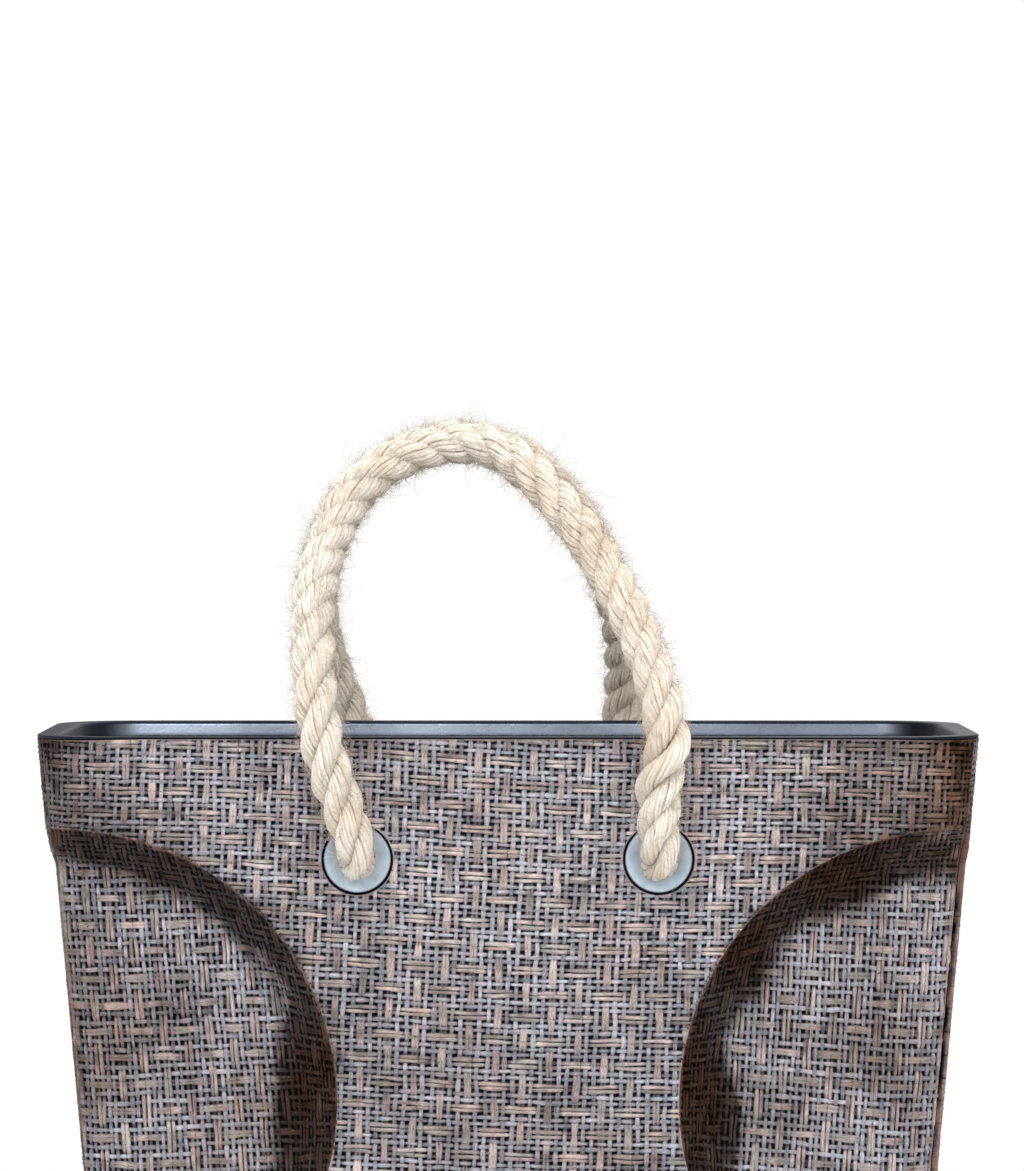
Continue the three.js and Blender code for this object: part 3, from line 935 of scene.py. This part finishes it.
def raised(on_top_at, place, pitch):
    """How far up a yarn is along its length, from the crossings before and after."""
    position = place / pitch - 0.5
    before = np.floor(position).astype(int)
    share = smoothstep(0.18, 0.82, position - before)
    return on_top_at(before) * (1 - share) + on_top_at(before + 1) * share


def along_yarn(rng, yarn, place, length):
    """A smooth random value, about -1 to 1, along each yarn; it changes over the given length."""
    table = np.clip(rng.normal(0, 0.6, (YARN_TABLE, YARN_TABLE)), -1.2, 1.2)
    position = place / length
    before = np.floor(position).astype(int)
    share = smoothstep(0, 1, position - before)
    return table[yarn, before] * (1 - share) + table[yarn, before + 1] * share


def woven_cloth(span, turn, seed):
    """The lattice of a cloth that covers a span (left, right, low, high): where its points lie in the
    plane, how high each stands, and what its yarn looks like. turn is the cloth's angle in degrees."""
    rng = np.random.default_rng(seed)
    left, right, low, high = span
    middle = np.array([(left + right) / 2, (low + high) / 2])
    radians = math.radians(turn)
    cos, sin = math.cos(radians), math.sin(radians)
    half_a = (abs(cos) * (right - left) + abs(sin) * (high - low)) / 2 + 3
    half_b = (abs(sin) * (right - left) + abs(cos) * (high - low)) / 2 + 3
    a, column, column_profile = column_lines(-half_a, half_a)
    b, row, row_profile = row_lines(-half_b, half_b)
    a_grid, b_grid = np.meshgrid(a, b, indexing="ij")
    column_grid, row_grid = np.meshgrid(column, row, indexing="ij")
    up_column = raised(lambda r: column_on_top(column_grid, r), b_grid, ROW_PITCH)
    up_row = raised(lambda c: ~column_on_top(c, row_grid), a_grid, COLUMN_PITCH)
    plump_column = 1 + 0.32 * along_yarn(rng, column_grid, b_grid, 5.0)
    plump_row = 1 + 0.32 * along_yarn(rng, row_grid, a_grid, 6.0)
    columns_high = column_profile[:, None] * (YARN_ROUND + YARN_LIFT * up_column) * plump_column
    rows_high = row_profile[None] * (YARN_ROUND + YARN_LIFT * up_row) * plump_row
    height = np.maximum(columns_high, rows_high)
    is_column = columns_high > rows_high

    drift = wave(rng, 5)
    wide_a = 0.22 * along_yarn(rng, column_grid, b_grid, 5.0) * (a_grid - (column_grid + 0.5) * COLUMN_PITCH)
    wide_b = 0.22 * along_yarn(rng, row_grid, a_grid, 6.0) * (b_grid - (row_grid + 0.5) * ROW_PITCH)
    sway_a = wide_a + 0.40 * along_yarn(rng, column_grid, b_grid, 8.0) + 1.1 * drift(a_grid / 60, b_grid / 60)
    together = 0.3 * ((row_grid % 4 == 1) * 1.0 - (row_grid % 4 == 2))
    sway_b = together + wide_b + 0.34 * along_yarn(rng, row_grid, a_grid, 9.0)
    sway_b = sway_b + 1.1 * drift(b_grid / 60 + 9, a_grid / 60)
    u = middle[0] + cos * (a_grid + sway_a) - sin * (b_grid + sway_b)
    v = middle[1] + sin * (a_grid + sway_a) + cos * (b_grid + sway_b)

    column_tone = along_yarn(rng, column_grid, b_grid, 30.0) + along_yarn(rng, column_grid, b_grid, 4.0)
    row_tone = along_yarn(rng, row_grid, a_grid, 30.0) + along_yarn(rng, row_grid, a_grid, 4.0)
    pair = np.where(is_column, column_grid % 3 == 1, (row_grid % 4 == 1) | (row_grid % 4 == 2))
    fibre = np.where(
        is_column[..., None],
        np.stack([b_grid, a_grid, column_grid * 1.7], -1),
        np.stack([a_grid, b_grid, 50 + row_grid * 1.7], -1),
    )
    return {
        "u": u, "v": v, "height": height, "tone": np.where(is_column, column_tone, row_tone),
        "pair": pair.astype(float), "fibre": fibre,
    }


def snapped(u, v, inside_by):
    """Moves the points just outside a domain onto its edge. Returns the new places and which cells stay."""
    gap = inside_by(u, v)
    inside = gap >= 0
    grown = inside.copy()
    for di in (-1, 0, 1):
        for dj in (-1, 0, 1):
            grown |= np.roll(np.roll(inside, di, 0), dj, 1)
    edge = grown & ~inside
    eu, ev = u[edge], v[edge]
    tiny = 0.02
    for _ in range(4):
        value = inside_by(eu, ev)
        slope_u = (inside_by(eu + tiny, ev) - inside_by(eu - tiny, ev)) / (2 * tiny)
        slope_v = (inside_by(eu, ev + tiny) - inside_by(eu, ev - tiny)) / (2 * tiny)
        steep = np.maximum(slope_u**2 + slope_v**2, 0.05)
        eu = eu - value * slope_u / steep
        ev = ev - value * slope_v / steep
    shift = np.maximum(np.hypot(eu - u[edge], ev - v[edge]) / SNAP_REACH, 1)
    u, v = u.copy(), v.copy()
    u[edge] += (eu - u[edge]) / shift
    v[edge] += (ev - v[edge]) / shift
    cells = inside[:-1, :-1] | inside[1:, :-1] | inside[:-1, 1:] | inside[1:, 1:]
    return u, v, cells, np.maximum(gap, 0)


def skirt(quads, points, inward):
    """Faces that give an open sheet's border a thickness, with points of their own."""
    edges = np.concatenate([quads[:, [0, 1]], quads[:, [1, 2]], quads[:, [2, 3]], quads[:, [3, 0]]])
    key = np.sort(edges, axis=1)
    edge_number = key[:, 0].astype(np.int64) * len(points) + key[:, 1]
    _, first, count = np.unique(edge_number, return_index=True, return_counts=True)
    border = edges[first[count == 1]]
    used, local = np.unique(border, return_inverse=True)
    local = local.reshape(border.shape)
    top, bottom = points[used], points[used] + inward[used]
    start = len(points)
    faces = np.stack([local[:, 1], local[:, 0], local[:, 0] + len(used), local[:, 1] + len(used)], -1) + start
    return used, np.concatenate([top, bottom]), faces


def woven_piece(
    name, nodes, span, turn, seed, inside_by, place, looks, material, parts=1, hem_width=0.8,
    relief=1.0,
):
    """A cloth panel. inside_by(u, v) is the distance in from its edge, place(u, v) the point of the surface,
    looks(u, v) its darkening, partly stain and partly painted shade, and its brownness, and relief how far
    the yarns stand out."""
    cloth = woven_cloth(span, turn, seed)
    u, v, cells, gap = snapped(cloth["u"], cloth["v"], inside_by)
    hem = np.clip(1 - gap / hem_width, 0, 1)
    height = relief * (np.maximum(cloth["height"], 0.95 * smoothstep(0, 0.6, hem)) - CLOTH_SINK)
    step = 0.05
    base = place(u, v)
    normal = unit(np.cross(place(u + step, v) - base, place(u, v + step) - base))
    points = (base + normal * height[..., None]).reshape(-1, 3)
    inward = (-normal * (SKIN - 0.2)).reshape(-1, 3)
    patina_and_shade, brown = looks(u, v)
    values = {
        "lift": np.maximum(cloth["height"] / (YARN_ROUND + YARN_LIFT), 0.9 * hem).ravel(),
        "tone": cloth["tone"].ravel(), "pair": cloth["pair"].ravel(),
        "patina_and_shade": patina_and_shade.ravel(), "brown": brown.ravel(), "hem": hem.ravel(),
    }
    fibre = cloth["fibre"].reshape(-1, 3)
    rows, columns = u.shape
    numbers = np.arange(rows * columns).reshape(rows, columns)
    quads = np.stack([numbers[:-1, :-1], numbers[1:, :-1], numbers[1:, 1:], numbers[:-1, 1:]], -1)
    bands = np.array_split(np.arange(columns - 1), parts)
    made = []
    for part, band in enumerate(bands):
        chosen = quads[:, band][cells[:, band]]
        if not len(chosen):
            continue
        used, local = np.unique(chosen, return_inverse=True)
        local = local.reshape(chosen.shape)
        border, more, edge_faces = skirt(local, points[used], inward[used])
        origin = used[border]
        picked = np.concatenate([used, origin, origin])
        shown = {key: value[picked] for key, value in values.items()}
        shown["lift"][len(used) + len(border):] = 0
        full_name = f"{name}_{part + 1}" if parts > 1 else name
        piece = make_mesh(
            full_name, np.concatenate([points[used], more]), [np.concatenate([local, edge_faces])],
            material, values=shown, vectors={"fibre": fibre[picked]},
        )
        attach(piece, "basket")
        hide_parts(*nodes)
        made.append(piece)
    return made


CLOTH_LOW = FOOT_HEIGHT + 0.3
CLOTH_HIGH = HEIGHT - LIP_HEIGHT - 0.1
SEAM_TURN = math.acos((CORNER_RADIUS - SEAM_INSET) / CORNER_RADIUS)
FACE_ARC = CORNER_RADIUS * (math.pi / 2 - SEAM_TURN)


def face_place(side):
    """The outside of the front or back, from the distance across it, round the corners, and the height."""
    def place(u, v):
        straight = half_width(v) - CORNER_RADIUS
        phi = np.clip((np.abs(u) - straight) / CORNER_RADIUS, 0, math.pi / 2)
        x = np.sign(u) * np.minimum(np.abs(u), straight + CORNER_RADIUS * np.sin(phi))
        y = half_depth(v) - CORNER_RADIUS * (1 - np.cos(phi))
        return np.stack([-side * x, side * y, v], -1)
    return place


def face_inside(u, v):
    straight = half_width(v) - CORNER_RADIUS
    sideways = straight + FACE_ARC - 0.15 - np.abs(u)
    phi = np.clip((np.abs(u) - straight) / CORNER_RADIUS, 0, math.pi / 2)
    x = np.minimum(np.abs(u), straight + CORNER_RADIUS * np.sin(phi))
    crest = dent_distance(x, v) - DENT_RADIUS
    eyelet = np.hypot(np.abs(u) - EYELET_X, v - EYELET_Z) - SKIN_HOLE
    return np.minimum.reduce([sideways, crest, eyelet, v - CLOTH_LOW, CLOTH_HIGH - lip_droop(u) - v])


def side_place(hand):
    def place(u, v):
        straight = half_depth(v) - CORNER_RADIUS
        psi = np.clip((np.abs(u) - straight) / CORNER_RADIUS, 0, math.pi / 2)
        y = np.sign(u) * np.minimum(np.abs(u), straight + CORNER_RADIUS * np.sin(psi))
        x = half_width(v) - CORNER_RADIUS * (1 - np.cos(psi))
        waist = SIDE_WAIST * (hand < 0) * dent_hollow(half_width(v), v) / DENT_DEPTH
        return np.stack([hand * (x - waist), hand * y, v], -1)
    return place


def side_inside(u, v):
    straight = half_depth(v) - CORNER_RADIUS
    psi = np.clip((np.abs(u) - straight) / CORNER_RADIUS, 0, math.pi / 2)
    y = np.minimum(np.abs(u), straight + CORNER_RADIUS * np.sin(psi))
    seam_x = half_width(v) - SEAM_INSET
    behind_seam = half_depth(v) - y - corner_depth(seam_x, v) - dent_hollow(seam_x, v) - 0.15
    return np.minimum.reduce([behind_seam, v - CLOTH_LOW, CLOTH_HIGH - lip_droop(half_width(v)) - v])


# The dent's section: flat floor, a rounded foot and a straight wall up to the crest.
WALL_SLOPE = math.atan2(DENT_DEPTH, DENT_WALL_RUN)
FILLET = 12.0


def dent_section():
    """Tables of arc length, radius and depth from the dent's middle to a little past its crest."""
    step = 0.1
    wall = 34.0
    slope = [WALL_SLOPE * float(smoothstep(0, FILLET, i * step)) for i in range(int(wall / step))]
    rise = np.cumsum(np.sin(slope)) * step
    run = np.cumsum(np.cos(slope)) * step
    crest = int(np.searchsorted(rise, DENT_DEPTH))
    foot = DENT_RADIUS - run[crest]
    arc = np.concatenate([[0], foot + np.arange(1, len(run) + 1) * step])
    radius = np.concatenate([[0], foot + run])
    depth = np.concatenate([[DENT_DEPTH], DENT_DEPTH - rise])
    return arc, radius, depth


DENT_ARC, DENT_RUN, DENT_FALL = dent_section()


def dent_plan(u, v):
    """From the cloth's own distances to the dent's middle, to distances in the face plane, and the depth."""
    arc = np.hypot(u, v)
    shrink = np.interp(arc, DENT_ARC, DENT_RUN) / np.maximum(arc, 1e-6)
    return u * shrink, v * shrink, np.interp(arc, DENT_ARC, DENT_FALL)


def dent_place(side, hand):
    def place(u, v):
        x, z, depth = dent_plan(u, v)
        height = DENT_Z + z
        across = half_width(DENT_Z) - x
        depth = depth + corner_depth(across, height)
        return np.stack([hand * across, side * (half_depth(height) - depth), height + 0 * x], -1)

    def flipped(u, v):
        return place(hand * side * u, v)

    return flipped


def dent_inside(side, hand):
    def inside(u, v):
        x, z, depth = dent_plan(hand * side * u, v)
        height = DENT_Z + z
        across = half_width(DENT_Z) - x
        sideways = half_width(height) - SEAM_INSET - 0.4 - across
        below = depth * math.cos(WALL_SLOPE)
        return np.minimum.reduce([sideways, below, height - CLOTH_LOW])
    return inside


def face_looks(seed):
    cloud_wave = wave(np.random.default_rng(seed), 7)

    def looks(u, v):
        x = np.abs(u)
        crest = dent_distance(np.minimum(x, half_width(v)), v) - DENT_RADIUS
        cloud = cloud_wave(u / 18, v / 18)
        # Darkening, partly stain and partly painted shade: near the dent's crest, at the rounded corners
        # where the face turns from the light (painted shade), just under the lip, towards the bottom and the
        # ends, and darker and browner towards the right.
        near_crest = np.exp(-np.clip(crest, 0, None) / 9) * np.clip(0.5 + 0.35 * cloud, 0, 1)
        corner = smoothstep(160, 205, x)
        rim = 0.3 * smoothstep(299, 309, v) + 0.18 * (1 - smoothstep(165, 230, v))
        rim = rim + 0.15 * smoothstep(90, 160, x)
        right = smoothstep(120, 200, u)
        ends = (0.62 * corner + 0.42 * right) * np.clip(0.8 + 0.3 * cloud, 0, 1)
        patina_and_shade = np.clip(0.65 * near_crest + ends + rim, 0, 1)
        brown = np.clip(0.08 + 0.3 * corner + 0.75 * right + 0.15 * cloud, 0, 1)
        return patina_and_shade, brown
    return looks


def dent_looks(seed):
    cloud_wave = wave(np.random.default_rng(seed), 7)

    def looks(u, v):
        arc = np.hypot(u, v)
        cloud = cloud_wave(u / 15, v / 15)
        # Painted shade: the dent's wall is darkened towards near-black, more on its sides, which the
        # surroundings light more strongly; the mottled rest is stain.
        wall = smoothstep(DENT_ARC[1] - 6, DENT_ARC[1] + 11, arc + 3.5 * cloud)
        sideways = np.abs(u) / np.maximum(arc, 1)
        patina_and_shade = np.clip(0.2 + (0.8 + 1.3 * sideways) * wall + 0.16 * cloud, 0, 2)
        return patina_and_shade, np.clip(0.15 + 0.6 * wall + 0.2 * cloud, 0, 1)
    return looks


def side_looks(seed):
    cloud_wave = wave(np.random.default_rng(seed), 7)

    def looks(u, v):
        cloud = cloud_wave(u / 18, v / 18)
        # Darker towards the panel's front and back edges, and mottled all over.
        edge = smoothstep(45, 80, np.abs(u))
        return np.clip(0.35 + 0.5 * edge + 0.2 * cloud, 0, 1), np.clip(0.45 + 0.2 * cloud, 0, 1)
    return looks


def add_cloth(weave):
    half = RIM_WIDTH / 2 + 8
    for number, (side_name, side) in enumerate(SIDES):
        woven_piece(
            f"cloth_{side_name}", [f"woven_{side_name}"], (-half, half, CLOTH_LOW, CLOTH_HIGH),
            -2.1, 41 + number, face_inside, face_place(side), face_looks(51 + number), weave, parts=3,
        )
        for hand_name, hand in HANDS:
            reach = DENT_ARC[1] + 34
            low_u, high_u = (-12, reach) if hand * side > 0 else (-reach, 12)
            woven_piece(
                f"cloth_dent_{side_name}_{hand_name}", [f"woven_dent_{side_name}_{hand_name}"],
                (low_u, high_u, -reach, reach), 90 - 3 * hand, 61 + 2 * number + (hand > 0),
                dent_inside(side, hand), dent_place(side, hand), dent_looks(71 + number + hand), weave,
            )
    for number, (hand_name, hand) in enumerate(HANDS):
        reach = RIM_DEPTH / 2 + 4
        woven_piece(
            f"cloth_{hand_name}", [f"woven_{hand_name}"], (-reach, reach, CLOTH_LOW, CLOTH_HIGH),
            1.2, 81 + number, side_inside, side_place(hand), side_looks(91 + number), weave,
            parts=2, hem_width=0.01, relief=0.5,
        )


# ---------------------------------------------------------------- all together

add_camera()
add_studio()
add_handles(jute_material(), hair_material())
weave = weave_material("woven_cloth", linear(153, 154, 163), linear(164, 154, 151))
add_cloth(weave)
add_tub(tub_material())
add_fittings(zinc_material())
add_feet(pad_material())
